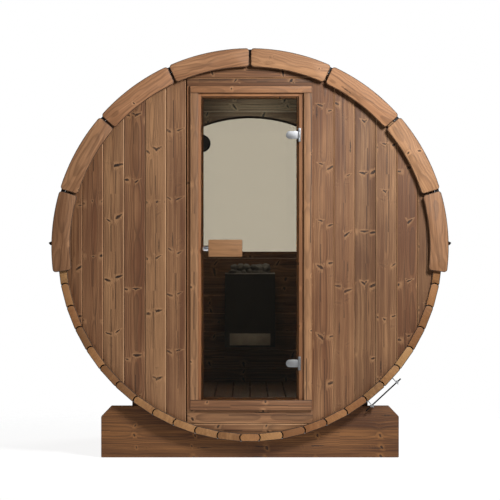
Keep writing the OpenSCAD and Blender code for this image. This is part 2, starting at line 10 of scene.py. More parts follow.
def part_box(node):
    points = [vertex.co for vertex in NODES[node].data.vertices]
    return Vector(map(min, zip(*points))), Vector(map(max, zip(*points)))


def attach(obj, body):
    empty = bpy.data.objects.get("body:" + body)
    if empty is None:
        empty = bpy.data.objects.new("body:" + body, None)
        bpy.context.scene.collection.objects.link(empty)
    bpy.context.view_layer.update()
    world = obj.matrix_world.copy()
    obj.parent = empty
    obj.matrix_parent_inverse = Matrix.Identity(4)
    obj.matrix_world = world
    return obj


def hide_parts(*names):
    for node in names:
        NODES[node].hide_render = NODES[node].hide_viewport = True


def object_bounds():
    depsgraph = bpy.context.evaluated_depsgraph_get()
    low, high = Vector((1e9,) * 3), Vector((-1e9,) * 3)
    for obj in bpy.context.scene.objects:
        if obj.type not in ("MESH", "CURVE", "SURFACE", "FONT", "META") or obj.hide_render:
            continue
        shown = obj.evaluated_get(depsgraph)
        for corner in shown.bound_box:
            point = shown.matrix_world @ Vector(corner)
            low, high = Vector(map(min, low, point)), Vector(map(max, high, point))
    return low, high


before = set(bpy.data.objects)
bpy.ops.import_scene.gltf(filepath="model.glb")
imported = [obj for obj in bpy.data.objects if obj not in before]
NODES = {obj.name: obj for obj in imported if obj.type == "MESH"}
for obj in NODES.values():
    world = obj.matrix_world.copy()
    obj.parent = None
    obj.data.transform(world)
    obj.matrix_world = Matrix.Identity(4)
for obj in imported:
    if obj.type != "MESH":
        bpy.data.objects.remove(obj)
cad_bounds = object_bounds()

CABIN, DOOR = "cabin", "door"
X, Y, Z = Vector((1, 0, 0)), Vector((0, 1, 0)), Vector((0, 0, 1))
rng = random.Random(7)

# Places that the frame gives
crown_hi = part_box("staves_crown")[1]
keel_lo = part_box("staves_keel")[0]
AXIS_Z = (crown_hi.z + keel_lo.z) / 2
STAVE_Y = crown_hi.y


# ---------------------------------------------------------------- node trees

class Tree:
    """Short calls for making a material's nodes. An input is a number, a tuple or another node's socket."""

    def __init__(self, name):
        self.material = bpy.data.materials.new(name)
        self.material.use_nodes = True
        self.nodes = self.material.node_tree.nodes
        self.links = self.material.node_tree.links
        self.shader = self.nodes["Principled BSDF"]

    def put(self, socket, value):
        if isinstance(value, bpy.types.NodeSocket):
            self.links.new(value, socket)
        else:
            socket.default_value = value

    def math(self, op, a, b=0.0, clamp=False):
        node = self.nodes.new("ShaderNodeMath")
        node.operation = op
        node.use_clamp = clamp
        for socket, value in zip(node.inputs, (a, b)):
            self.put(socket, value)
        return node.outputs[0]

    def add(self, a, b):
        return self.math("ADD", a, b)

    def sub(self, a, b):
        return self.math("SUBTRACT", a, b)

    def mul(self, a, b):
        return self.math("MULTIPLY", a, b)

    def div(self, a, b):
        return self.math("DIVIDE", a, b)

    def power(self, a, b):
        return self.math("POWER", a, b)

    def length(self, a, b):
        """The length of a flat vector."""
        return self.math("SQRT", self.add(self.power(a, 2.0), self.power(b, 2.0)))

    def around(self, value, share):
        """A value between 0 and 1 as an offset to either side of zero, share wide in all."""
        return self.mul(self.sub(value, 0.5), share)

    def vector(self, x, y, z):
        node = self.nodes.new("ShaderNodeCombineXYZ")
        for socket, value in zip(node.inputs, (x, y, z)):
            self.put(socket, value)
        return node.outputs[0]

    def split(self, vector):
        node = self.nodes.new("ShaderNodeSeparateXYZ")
        self.put(node.inputs[0], vector)
        return node.outputs

    def attribute(self, name):
        node = self.nodes.new("ShaderNodeAttribute")
        node.attribute_name = name
        return node.outputs

    def object_place(self):
        return self.nodes.new("ShaderNodeTexCoord").outputs["Object"]

    def noise(self, vector, scale, detail=2.0, rough=0.5):
        node = self.nodes.new("ShaderNodeTexNoise")
        self.put(node.inputs["Vector"], vector)
        node.inputs["Scale"].default_value = scale
        node.inputs["Detail"].default_value = detail
        node.inputs["Roughness"].default_value = rough
        return node.outputs["Fac"]

    def white(self, vector):
        node = self.nodes.new("ShaderNodeTexWhiteNoise")
        node.noise_dimensions = "3D"
        self.put(node.inputs["Vector"], vector)
        return node.outputs["Color"]

    def cells(self, vector, scale):
        node = self.nodes.new("ShaderNodeTexVoronoi")
        self.put(node.inputs["Vector"], vector)
        node.inputs["Scale"].default_value = scale
        return node.outputs

    def smooth(self, value, low, high, to_low=0.0, to_high=1.0):
        node = self.nodes.new("ShaderNodeMapRange")
        node.interpolation_type = "SMOOTHSTEP"
        for socket, item in zip(node.inputs, (value, low, high, to_low, to_high)):
            self.put(socket, item)
        return node.outputs[0]

    def mix(self, factor, a, b):
        node = self.nodes.new("ShaderNodeMix")
        node.data_type = "RGBA"
        self.put(node.inputs[0], factor)
        for socket, value in ((node.inputs[6], a), (node.inputs[7], b)):
            self.put(socket, value if isinstance(value, bpy.types.NodeSocket) else (*value, 1.0))
        return node.outputs[2]

    def bump(self, height, distance, strength=1.0):
        node = self.nodes.new("ShaderNodeBump")
        node.inputs["Strength"].default_value = strength
        node.inputs["Distance"].default_value = distance
        self.put(node.inputs["Height"], height)
        return node.outputs[0]

    def finish(self, **sockets):
        names = {"color": "Base Color", "rough": "Roughness", "metal": "Metallic", "normal": "Normal",
                 "specular": "Specular IOR Level", "transmission": "Transmission Weight", "ior": "IOR",
                 "alpha": "Alpha"}
        for key, value in sockets.items():
            if key == "color" and not isinstance(value, bpy.types.NodeSocket):
                value = (*value, 1.0)
            self.put(self.shader.inputs[names[key]], value)
        return self.material


def scaled(color, *factors):
    """A colour times one factor, or times one for each channel."""
    return tuple(c * k for c, k in zip(color, factors * 3))


KNOT = (0.014, 0.007, 0.004)


def knots_of(t, along, across, seed, warp, knots, spike):
    """Whorls: rows of knots across the board, one row per stretch of length. Gives the masks and the row."""
    row_l, col_w = 0.3, 0.056
    row_at = t.add(t.div(along, row_l), seed)
    row = t.math("FLOOR", row_at)
    row_rnd = t.split(t.white(t.vector(row, seed, 3.0)))
    to_row = t.mul(t.sub(t.math("FRACT", row_at), t.add(0.3, t.mul(row_rnd[0], 0.4))), row_l)
    col_at = t.add(t.div(across, col_w), t.mul(seed, 1.7))
    col = t.math("FLOOR", col_at)
    knot_rnd = t.split(t.white(t.vector(row, col, seed)))
    size_rnd = t.split(t.white(t.vector(col, seed, row)))
    in_col = t.math("FRACT", col_at)
    to_col = t.mul(t.sub(in_col, t.add(0.4, t.mul(knot_rnd[0], 0.2))), col_w)
    knot_y = t.add(to_row, t.around(knot_rnd[2], 0.03))

    # Each knot is an ellipse that slants up and away from the pith, thicker at one end
    side = t.math("SIGN", across)
    slant = t.mul(side, t.add(0.1, t.mul(size_rnd[0], 0.6)))
    cos_s, sin_s = t.math("COSINE", slant), t.math("SINE", slant)
    long_way = t.add(t.mul(to_col, cos_s), t.mul(knot_y, sin_s))
    short_way = t.sub(t.mul(knot_y, cos_s), t.mul(to_col, sin_s))
    size = t.add(0.0036, t.mul(t.power(size_rnd[1], 1.5), 0.0038))
    stretch = t.add(1.15, t.mul(t.power(size_rnd[2], 0.8), 3.8 * spike))
    reach = t.div(long_way, t.mul(size, stretch))
    taper = t.add(1.0, t.mul(t.mul(reach, side), -0.4 * spike))
    spread = t.add(t.length(t.div(short_way, t.mul(size, taper)), reach), t.around(warp, 0.9))

    inside = t.mul(t.smooth(in_col, 0.0, 0.07), t.smooth(in_col, 0.93, 1.0, 1.0, 0.0))
    chance = t.add(knot_rnd[1], t.mul(row_rnd[1], 0.5))
    least = 1.02 - 0.47 * knots if knots else 2.0
    present = t.mul(t.math("GREATER_THAN", chance, least), inside)
    body = t.mul(t.smooth(spread, 0.8, 1.15, 1.0, 0.0), present)
    core = t.mul(t.smooth(t.add(spread, t.mul(reach, 0.35)), 0.35, 0.85, 1.0, 0.0), present)
    halo = t.mul(t.smooth(spread, 1.0, 3.4, 1.0, 0.0), present)
    swell = t.div(1.0, t.add(1.0, t.power(t.div(to_row, 0.035), 2.0)))
    return body, core, halo, swell, row_rnd


def slivers_of(t, along, across, seed, warp, slivers):
    """Resin streaks: dark slivers that run with the grain, broader at one end."""
    cell_l, cell_w, half_l = 0.33, 0.055, 0.046
    place_u, place_v = t.div(along, cell_l), t.div(across, cell_w)
    rnd = t.split(t.white(t.vector(t.math("FLOOR", place_u), t.math("FLOOR", place_v), t.add(seed, 9.0))))
    off_u = t.sub(t.math("FRACT", place_u), t.add(0.3, t.mul(rnd[0], 0.4)))
    off_v = t.sub(t.math("FRACT", place_v), t.add(0.3, t.mul(rnd[1], 0.4)))
    lengthwise = t.div(t.mul(off_u, cell_l), half_l)
    width = t.add(0.0036, t.mul(lengthwise, -0.0022))
    out = t.add(t.length(lengthwise, t.div(t.mul(off_v, cell_w), width)), t.around(warp, 1.5))
    return t.mul(t.smooth(out, 0.5, 1.1, 1.0, 0.0), t.math("GREATER_THAN", rnd[2], 1.0 - 0.17 * slivers))


def wood(name, light, dark, warmth=0.5, knots=1.0, contrast=1.0, spike=1.0, slivers=1.0, rings=150.0,
         swirl=1.0, variety=0.8, end=False):
    """Softwood in a board's own frame: growth rings round a pith line, whorls of knots, fibres and stains.

    spike is how far the knots are cut lengthwise, rings how many there are to a metre, swirl how much the
    figure wanders, variety how far the boards' tones lie apart, and end adds the pores of end grain.
    """
    t = Tree(name)
    along, across, deep = t.split(t.attribute("grain")["Vector"])
    tone = t.attribute("tone")["Fac"]
    seed = t.mul(t.math("FRACT", t.mul(tone, 91.3)), 61.7)
    warp = t.noise(t.vector(along, across, deep), 95.0, 2.0)
    body, core, halo, swell, row_rnd = knots_of(t, along, across, seed, warp, knots, spike)
    sliver = slivers_of(t, along, across, seed, warp, slivers)

    # Rings round the pith, which wanders a little along the board
    wander = t.sub(t.noise(t.vector(t.mul(along, 0.8), t.mul(across, 2.5), seed), 1.6, 3.0), 0.5)
    curl = t.sub(t.noise(t.vector(along, across, t.add(deep, seed)), 5.0, 2.0), 0.5)
    pith = t.add(t.around(tone, 0.05), t.mul(wander, 0.035))
    side = t.add(t.add(across, t.around(row_rnd[2], 0.006)), pith)
    depth = t.add(deep, t.add(0.022, t.mul(t.math("FRACT", t.mul(tone, 7.3)), 0.05)))
    bend = t.add(t.mul(swell, 0.004), t.mul(halo, 0.007))
    drift = t.add(t.mul(wander, 0.012), t.mul(curl, 0.022 * (swirl - 0.7)))
    ring = t.math("FRACT", t.mul(t.add(t.add(t.length(side, depth), bend), drift), rings))
    late = t.mul(t.smooth(ring, 0.3, 0.9), t.smooth(ring, 0.9, 1.0, 1.0, 0.0))

    # Fibres and broad streaks along the board
    fibre = t.noise(t.vector(t.mul(along, 9.0), t.mul(across, 330.0), t.mul(deep, 330.0)), 1.0, 3.0, 0.6)
    streak_place = t.vector(t.add(t.mul(along, 1.1), seed), t.mul(t.add(across, bend), 75.0),
                            t.add(t.mul(deep, 30.0), seed))
    streak = t.noise(streak_place, 1.0, 4.0, 0.68)
    blotch = t.noise(t.vector(t.add(t.mul(along, 2.2), seed), t.mul(across, 11.0), seed), 1.0, 2.0)
    heart = t.math("ABSOLUTE", t.add(t.add(across, t.around(row_rnd[1], 0.03)), t.mul(wander, 0.02)))
    heart_line = t.mul(t.smooth(heart, 0.0008, 0.0034, 1.0, 0.0),
                       t.smooth(t.add(row_rnd[0], t.around(blotch, 1.2)), 0.4, 0.6))

    amount = t.add(t.around(streak, 2.1 * contrast), t.around(blotch, 1.5 * contrast))
    shade = t.math("ADD", t.add(0.5, amount), t.around(tone, variety), clamp=True)
    color = t.mix(shade, dark, light)
    red = t.math("FRACT", t.mul(tone, 17.9))
    color = t.mix(t.mul(red, 0.6 * warmth), color, scaled(dark, 1.6, 1.08, 0.85))
    color = t.mix(t.mul(late, 0.5 * contrast), color, scaled(dark, 0.5))
    color = t.mix(t.mul(t.sub(fibre, 0.35), 0.85), color, scaled(dark, 0.6))
    color = t.mix(t.mul(heart_line, 0.75 * knots), color, scaled(dark, 0.36))
    color = t.mix(t.mul(t.sub(halo, body), 0.4), color, scaled(light, 1.15))
    color = t.mix(t.mul(body, 0.9), color, scaled(dark, 0.4))
    color = t.mix(t.mul(core, 0.9), color, KNOT)
    color = t.mix(t.mul(sliver, 0.85), color, scaled(KNOT, 1.2))
    if end:
        pores = t.noise(t.vector(t.mul(along, 60.0), t.mul(across, 900.0), t.mul(deep, 900.0)), 1.0, 2.0)
        color = t.mix(t.smooth(pores, 0.3, 0.7, 0.0, 0.22), color, scaled(dark, 0.5))
    rough = t.add(0.52, t.add(t.mul(fibre, 0.2), t.mul(late, -0.08)))
    height = t.add(t.add(t.mul(fibre, 0.55), t.mul(late, 0.5)), t.mul(body, -0.6))
    return t.finish(color=color, rough=rough, specular=0.28, normal=t.bump(height, 0.0009, strength=0.75))


def metal(name, color, rough, brushed=0.0, axis=2, scratches=0.04):
    """Metal with fine brushing across an axis, smudges and light scratches."""
    t = Tree(name)
    place = t.split(t.object_place())
    squash = [40.0 if i == axis else 900.0 for i in range(3)]
    lines = t.noise(t.vector(*[t.mul(p, s) for p, s in zip(place, squash)]), 1.0, 2.0, 0.6)
    smudge = t.noise(t.object_place(), 23.0, 4.0)
    tint = t.mix(t.smooth(smudge, 0.35, 0.75), scaled(color, 0.82), color)
    level = t.add(t.add(rough - 0.05, t.mul(smudge, 0.12)), t.mul(lines, scratches))
    return t.finish(color=tint, metal=1.0, rough=level, normal=t.bump(lines, 0.00012, strength=brushed))


def glass(name, color, ior):
    """Clear sheet glass, with the faintest haze in its gloss."""
    t = Tree(name)
    haze = t.noise(t.object_place(), 3.0, 3.0)
    return t.finish(color=color, rough=t.mul(t.smooth(haze, 0.55, 0.8), 0.003), transmission=1.0, ior=ior)


# ---------------------------------------------------------------- mesh tools

# A direction along which no two solids of a node lie level, so that it gives them one order
SLANT = Vector((1.0, 0.31, 0.17))


def middle_of(bm):
    return sum((v.co for v in bm.verts), Vector()) / len(bm.verts)


def copy_faces(faces):
    """A new mesh holding only these faces."""
    out = bmesh.new()
    seen = {}
    for face in faces:
        for vert in face.verts:
            if vert not in seen:
                seen[vert] = out.verts.new(vert.co)
    for face in faces:
        out.faces.new([seen[v] for v in face.verts])
    return out


def solids(node):
    """The separate solids of a CAD node, welded, with their flat faces whole, in order along SLANT."""
    bm = bmesh.new()
    bm.from_mesh(NODES[node].data)
    bmesh.ops.remove_doubles(bm, verts=bm.verts, dist=2e-5)
    bmesh.ops.dissolve_limit(bm, angle_limit=math.radians(0.4), verts=bm.verts, edges=bm.edges)
    left, found = dict.fromkeys(bm.faces), []
    while left:
        first = next(iter(left))
        del left[first]
        stack, group = [first], [first]
        while stack:
            for edge in stack.pop().edges:
                for face in edge.link_faces:
                    if face in left:
                        del left[face]
                        group.append(face)
                        stack.append(face)
        found.append(copy_faces(group))
    bm.free()
    return sorted(found, key=lambda part: middle_of(part).dot(SLANT))


def slice_between(bm, axis, low, high):
    """The part of a solid between two planes across an axis, closed again, or None."""
    part = bm.copy()
    bmesh.ops.triangulate(part, faces=part.faces[:])
    for place, keep in ((low, 1), (high, -1)):
        cut = bmesh.ops.bisect_plane(part, geom=part.verts[:] + part.edges[:] + part.faces[:], dist=1e-6,
                                     plane_co=axis * place, plane_no=axis * -keep, clear_outer=True)
        edges = [g for g in cut["geom_cut"] if isinstance(g, bmesh.types.BMEdge)]
        if edges:
            bmesh.ops.edgeloop_fill(part, edges=edges)
    if not part.faces:
        part.free()
        return None
    bmesh.ops.remove_doubles(part, verts=part.verts, dist=1e-5)
    bmesh.ops.dissolve_limit(part, angle_limit=math.radians(0.4), verts=part.verts, edges=part.edges)
    return part


def bevel(bm, edges, offset, segments=2, material=-1):
    if edges:
        bmesh.ops.bevel(bm, geom=edges, offset=offset, segments=segments, profile=0.6, affect="EDGES",
                        clamp_overlap=True, material=material)


def sharp_edges(bm, least=28):
    limit = math.radians(least)
    return [e for e in bm.edges if len(e.link_faces) == 2 and e.calc_face_angle(0.0) > limit]


# ARRIS faces take a material that paints light or shade on edges: dark rims (painted shade) on staves,
# fascia and casing, lighter V-groove chamfers (painted highlight) on walls.
SIDE_GRAIN, END_GRAIN, ARRIS = 0, 1, 2


def ease(bm, width, way):
    """Chamfers the rims of the faces that look along way, and marks the chamfers as ARRIS, for a dark
    material: dark joints, and painted shade along the rims.
    """
    for face in [f for f in bm.faces if abs(f.normal.dot(way)) > 0.99]:
        back = face.normal * (-0.5 * width)
        outer = face.verts[:]
        rim = bmesh.ops.inset_individual(bm, faces=[face], thickness=width, use_even_offset=True)["faces"]
        for part in rim:
            part.material_index = ARRIS
        bmesh.ops.translate(bm, verts=outer, vec=back)


class Boards:
    """Collects boards into one mesh, each with its own grain frame and tone."""

    def __init__(self, name):
        self.rng = random.Random(name)
        self.bm = bmesh.new()
        self.grain = self.bm.verts.layers.float_vector.new("grain")
        self.tone = self.bm.verts.layers.float.new("tone")

    def add(self, board, along, across, soft=0.0012, tone=None, arris=0.0, arris_way=None):
        """Softens a board's edges and takes it in. along and across are its own axes.

        arris is the width of the darkened edges round the faces that look along arris_way: dark joints, and
        painted shade along the rims.
        """
        along, across = along.normalized(), across.normalized()
        deep = along.cross(across)
        bmesh.ops.recalc_face_normals(board, faces=board.faces)
        if arris:
            ease(board, arris, arris_way)
        elif soft:
            bevel(board, sharp_edges(board), soft)
        local = [Vector((v.co.dot(along), v.co.dot(across), v.co.dot(deep))) for v in board.verts]
        middle = Vector([(min(p[i] for p in local) + max(p[i] for p in local)) / 2 for i in range(3)])
        tone = self.rng.random() if tone is None else tone
        shift = Vector((self.rng.uniform(0, 40), 0, 0))
        made = {}
        for vert, place in zip(board.verts, local):
            copy = self.bm.verts.new(vert.co)
            copy[self.grain] = place - middle + shift
            copy[self.tone] = tone
            made[vert] = copy
        for face in board.faces:
            new = self.bm.faces.new([made[v] for v in face.verts])
            if face.material_index == ARRIS:
                new.material_index = ARRIS
            else:
                new.material_index = END_GRAIN if abs(face.normal.dot(along)) > 0.9 else SIDE_GRAIN
        board.free()

    def piece(self, name, materials, body, slot, *nodes):
        """Makes the object that stands for the CAD nodes."""
        return make_piece(name, self.bm, materials, body, nodes)


def make_piece(name, bm, materials, body, nodes=(), smooth=35):
    bmesh.ops.recalc_face_normals(bm, faces=bm.faces)
    mesh = bpy.data.meshes.new(name)
    bm.to_mesh(mesh)
    bm.free()
    for polygon in mesh.polygons:
        polygon.use_smooth = True
    mesh.set_sharp_from_angle(angle=math.radians(smooth))
    for material in materials:
        mesh.materials.append(material)
    piece = bpy.data.objects.new(name, mesh)
    bpy.context.scene.collection.objects.link(piece)
    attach(piece, body)
    if nodes:
        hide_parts(*nodes)
    return piece


def add_box(bm, low, high, soft, material=0):
    """A box with softened edges."""
    part = bmesh.new()
    bmesh.ops.create_cube(part, size=1.0)
    low, high = Vector(low), Vector(high)
    for vert in part.verts:
        vert.co = Vector([(l + h) / 2 + c * (h - l) for l, h, c in zip(low, high, vert.co)])
    bevel(part, part.edges[:], soft)
    merge(bm, part, material=material)


def merge(bm, part, matrix=None, material=0):
    """Takes a part's faces into bm and frees it."""
    made = {}
    for vert in part.verts:
        made[vert] = bm.verts.new(matrix @ vert.co if matrix else vert.co)
    for face in part.faces:
        bm.faces.new([made[v] for v in face.verts]).material_index = material
    part.free()


def round_ring(bm, radius, height, steps):
    """Points round Z at one height."""
    angles = [2 * math.pi * i / steps for i in range(steps)]
    return [bm.verts.new((radius * math.cos(a), radius * math.sin(a), height)) for a in angles]


def bridge(bm, rings, material=0):
    """Faces from each ring of points to the next."""
    for below, above in zip(rings, rings[1:]):
        for i in range(len(below)):
            j = (i + 1) % len(below)
            bm.faces.new((below[i], below[j], above[j], above[i])).material_index = material


def cap_ends(bm, rings, material=0):
    for ring in (rings[0], rings[-1]):
        bm.faces.new(ring).material_index = material


def placed(origin, z_axis, x_axis=None):
    """A matrix that puts a shape's Z along z_axis at origin."""
    z = Vector(z_axis).normalized()
    x = Vector(x_axis) if x_axis is not None else (X if abs(z.x) < 0.9 else Y)
    x = (x - z * x.dot(z)).normalized()
    y = z.cross(x)
    return Matrix.Translation(origin) @ Matrix((x, y, z)).transposed().to_4x4()


# ---------------------------------------------------------------- materials

WALL_LIGHT, WALL_DARK = (0.36, 0.192, 0.088), (0.115, 0.05, 0.0215)
PLAIN = dict(knots=0.0, slivers=0.0, end=True)
wall_wood = wood("wall_wood", WALL_LIGHT, WALL_DARK, knots=1.25, slivers=0.6)
wall_end = wood("wall_end", WALL_LIGHT, WALL_DARK, **PLAIN)
# Lighter wood for the V-groove chamfers: a painted highlight along each groove.
groove_painted_highlight = wood("groove_painted_highlight", (0.55, 0.34, 0.185), (0.3, 0.165, 0.082), knots=0.0, slivers=0.0)
stave_wood = wood("stave_wood", (0.33, 0.182, 0.088), (0.125, 0.06, 0.027), knots=0.9)
stave_end = wood("stave_end", (0.45, 0.245, 0.094), (0.18, 0.084, 0.028), warmth=0.9, variety=1.4, **PLAIN)
# Near-black chamfers round the stave ends: the dark joints between staves, and painted shade along the inner
# and outer rims.
stave_rim_joints_and_painted_shade = wood("stave_rim_joints_and_painted_shade", (0.03, 0.014, 0.007), (0.015, 0.007, 0.004), **PLAIN)
trim_wood = wood("trim_wood", (0.45, 0.238, 0.115), (0.16, 0.07, 0.029), knots=0.4, contrast=0.8, spike=0.2,
                 slivers=0.2, rings=130.0, swirl=1.9)
trim_end = wood("trim_end", (0.25, 0.125, 0.058), (0.12, 0.056, 0.026), **PLAIN)
# Dark chamfers round the fascia and casing boards: the dark joints between boards, and painted shade along
# their rims.
trim_rim_joints_and_painted_shade = wood("trim_rim_joints_and_painted_shade", (0.09, 0.042, 0.018), (0.04, 0.018, 0.008), **PLAIN)
casing_wood = wood("casing_wood", (0.42, 0.222, 0.103), (0.16, 0.073, 0.032), knots=1.3, contrast=0.7,
                   spike=0.15, slivers=0.1, rings=130.0, swirl=1.4)
handle_wood = wood("handle_wood", (0.35, 0.18, 0.078), (0.17, 0.078, 0.032), knots=0.0, contrast=0.55,
                   slivers=0.0)
frame_wood = wood("frame_wood", (0.36, 0.17, 0.07), (0.2, 0.088, 0.036), knots=0.3, contrast=0.8)
cradle_wood = wood("cradle_wood", (0.28, 0.122, 0.037), (0.066, 0.0245, 0.0068), knots=0.95, spike=0.15,
                   swirl=0.75)
cradle_end = wood("cradle_end", (0.2, 0.12, 0.07), (0.1, 0.052, 0.03), **PLAIN)
inside_wood = wood("inside_wood", (0.25, 0.15, 0.09), (0.13, 0.07, 0.04), knots=0.8)
band_steel = metal("band_steel", (0.5, 0.51, 0.52), 0.34, brushed=0.25, axis=1)
# Near-black steel: the dark surroundings the rod reflects are painted into its colour, a painted dark
# reflection.
rod_painted_dark_reflection = metal("rod_painted_dark_reflection", (0.022, 0.022, 0.023), 0.35)
vent_wire = metal("vent_wire", (0.3, 0.3, 0.3), 0.4)
hinge_steel = metal("hinge_steel", (0.32, 0.325, 0.335), 0.42, brushed=0.3, axis=0)
catch_chrome = metal("catch_chrome", (0.72, 0.73, 0.76), 0.16)
satin_plate = metal("satin_plate", (0.58, 0.59, 0.61), 0.42, brushed=0.5, axis=0)
door_tint = glass("door_tint", (0.48, 0.425, 0.335), 1.22)
pane_clear = glass("pane_clear", (0.92, 0.93, 0.91), 1.4)


def shingle_material():
    t = Tree("shingle")
    place = t.object_place()
    tone = t.attribute("tone")["Fac"]
    grit = t.cells(place, 620.0)
    flake = t.split(grit["Color"])
    broad = t.noise(place, 5.0, 4.0)
    color = t.mix(flake[0], (0.012, 0.012, 0.013), (0.06, 0.06, 0.063))
    color = t.mix(t.mul(tone, 0.7), color, (0.016, 0.016, 0.017))
    color = t.mix(t.smooth(broad, 0.5, 0.8, 0.0, 0.25), color, (0.075, 0.071, 0.064))
    rough = t.add(0.78, t.mul(flake[1], 0.18))
    return t.finish(color=color, rough=rough, specular=0.3,
                    normal=t.bump(grit["Distance"], 0.0011, strength=0.8))


def black_coat(name, color, grain_scale, rough):
    t = Tree(name)
    place = t.object_place()
    grain = t.noise(place, grain_scale, 2.0)
    dust = t.noise(place, 7.0, 4.0)
    tint = t.mix(t.smooth(dust, 0.45, 0.8, 0.0, 0.4), color, tuple(c * 1.7 + 0.006 for c in color))
    return t.finish(color=tint, rough=t.add(rough, t.mul(dust, 0.15)), specular=0.4,
                    normal=t.bump(grain, 0.0003, strength=0.4))


def rock_material():
    t = Tree("rock")
    place = t.object_place()
    tone = t.attribute("tone")["Fac"]
    big = t.noise(place, 28.0, 5.0, 0.6)
    crystal = t.cells(place, 260.0)
    fleck = t.split(crystal["Color"])[0]
    color = t.mix(big, (0.06, 0.058, 0.055), (0.25, 0.24, 0.225))
    color = t.mix(t.mul(tone, 0.5), color, (0.21, 0.19, 0.165))
    color = t.mix(t.smooth(fleck, 0.75, 0.95, 0.0, 0.5), color, (0.3, 0.29, 0.27))
    rough = t.add(0.7, t.mul(fleck, 0.2))
    height = t.add(big, t.mul(crystal["Distance"], 0.4))
    return t.finish(color=color, rough=rough, normal=t.bump(height, 0.004, strength=0.7))


shingle = shingle_material()
drip_black = black_coat("drip_black", (0.009, 0.009, 0.0095), 300.0, 0.6)
vent_black = black_coat("vent_black", (0.012, 0.012, 0.012), 400.0, 0.4)
heater_black = black_coat("heater_black", (0.018, 0.018, 0.019), 900.0, 0.45)
rock = rock_material()


# ---------------------------------------------------------------- timber

def radial(angle):
    """Unit vector away from the barrel's axis, at an angle from the top towards +X."""
    return Vector((math.sin(angle), 0, math.cos(angle)))


def outward(board):
    """Unit vector from the barrel's axis to a board's middle."""
    middle = middle_of(board)
    return Vector((middle.x, 0, middle.z - AXIS_Z)).normalized()


def stave_piece(node):
    boards = Boards(node)
    for stave in solids(node):
        boards.add(stave, Y, Y.cross(outward(stave)), arris=0.0028, arris_way=Y)
    boards.piece(node.replace("staves", "barrel_staves"), [stave_wood, stave_end, stave_rim_joints_and_painted_shade], CABIN,
                 "stave_wood", node)


for part in ("keel", "belly_left", "belly_right", "side_left", "side_right", "shoulder_left",
             "shoulder_right", "crown"):
    stave_piece("staves_" + part)


BOARD_PITCH = 0.109
GROOVE = 0.0038
FRONT_JOINT, REAR_JOINT = 0.0012, 0.00015      # half the gap between two boards
TONGUE_T, SLOT_W, SLOT_DEEP = 0.012, 0.0075, 0.016


def joint_edges(board, along, step_axis, sides):
    """The long edges of a board that lie on its two sides, where the V-grooves go."""
    chosen = []
    for edge in sharp_edges(board, 60):
        run = (edge.verts[1].co - edge.verts[0].co).normalized()
        spot = edge.verts[0].co.dot(step_axis)
        if abs(run.dot(along)) > 0.99 and min(abs(spot - s) for s in sides) < 1e-4:
            chosen.append(edge)
    return chosen


def panel_piece(node, along, step_axis, seams, tones, joint=FRONT_JOINT, tongues=True, slot=0.0):
    """A wall section cut into boards with V-grooves on both faces, and with a tongue behind each joint.

    tones holds the shade of each board, 0 dark to 1 light, in order along step_axis, and repeats. slot is
    the width of a square groove in the face of the last board, on its far side.
    """
    boards = Boards(node)
    low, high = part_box(node)
    tongue_y = (low.y + high.y) / 2
    least, most = low.dot(step_axis), high.dot(step_axis)
    cuts = sorted([s for s in seams if least + 0.012 < s < most - 0.012])
    edges = [least - 0.01] + cuts + [most - slot + joint if slot else most + 0.01]
    for solid in solids(node):
        for number, (first, last) in enumerate(zip(edges, edges[1:])):
            sides = (first + joint, last - joint)
            board = slice_between(solid, step_axis, *sides)
            if board is None:
                continue
            bmesh.ops.recalc_face_normals(board, faces=board.faces)
            # The groove chamfers take the lighter groove material, a painted highlight along each groove.
            bevel(board, joint_edges(board, along, step_axis, sides), GROOVE, 1, ARRIS)
            boards.add(board, along, step_axis, soft=0.0007, tone=tones[number % len(tones)])
        if slot:
            strip = slice_between(solid, step_axis, most - slot, most + 0.01)
            strip = slice_between(strip, Y, low.y + SLOT_DEEP, high.y + 0.01)
            # The slot's floor gets a dark tone: painted shade in the slot.
            boards.add(strip, along, step_axis, soft=0.0, tone=0.2)
        for seam in cuts if tongues else ():
            tongue = slice_between(solid, step_axis, seam - joint * 1.3, seam + joint * 1.3)
            tongue = tongue and slice_between(tongue, Y, tongue_y - TONGUE_T / 2, tongue_y + TONGUE_T / 2)
            if tongue:
                boards.add(tongue, along, step_axis, soft=0.0, tone=0.3)
        solid.free()
    return boards.piece(node + "_boards", [wall_wood, wall_end, groove_painted_highlight], CABIN, "wall_wood", node)


left_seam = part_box("front_wall_left")[1].x
right_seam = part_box("front_wall_right")[0].x
head_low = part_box("front_wall_head")[0].z
foot_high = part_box("front_wall_foot")[1].z
panel_piece("front_wall_left", Z, X, [left_seam - BOARD_PITCH * i for i in range(1, 6)],
            (0.38, 0.33, 0.58, 0.27, 0.86, 0.43), slot=SLOT_W)
panel_piece("front_wall_right", Z, X, [right_seam + BOARD_PITCH * i for i in range(1, 6)],
            (0.38, 0.43, 0.17, 0.46, -0.02, 0.17))
# The head boards' low tones are partly their own tone and partly painted shade under the top of the fascia.
panel_piece("front_wall_head", X, Z, [head_low + 0.043], (0.13, 0.1))
panel_piece("front_wall_foot", X, Z, [foot_high - 0.071], (0.36, 0.54))
rear_seams = [AXIS_Z - 0.271 + BOARD_PITCH * i for i in range(-9, 12)]
for part in ("lower", "crown", "left", "right"):
    panel_piece("rear_wall_" + part, X, Z, rear_seams, (0.33, 0.27, 0.31, 0.36, 0.29), REAR_JOINT, False)


# Fascia tones from the lower left over to the lower right: partly each board's own tone, partly painted
# light, lighter up on the right and darker low down, as the light falls.
RING_TONES = (0.34, 0.41, 0.61, 0.59, 0.86, 0.94, 0.9, 0.4)


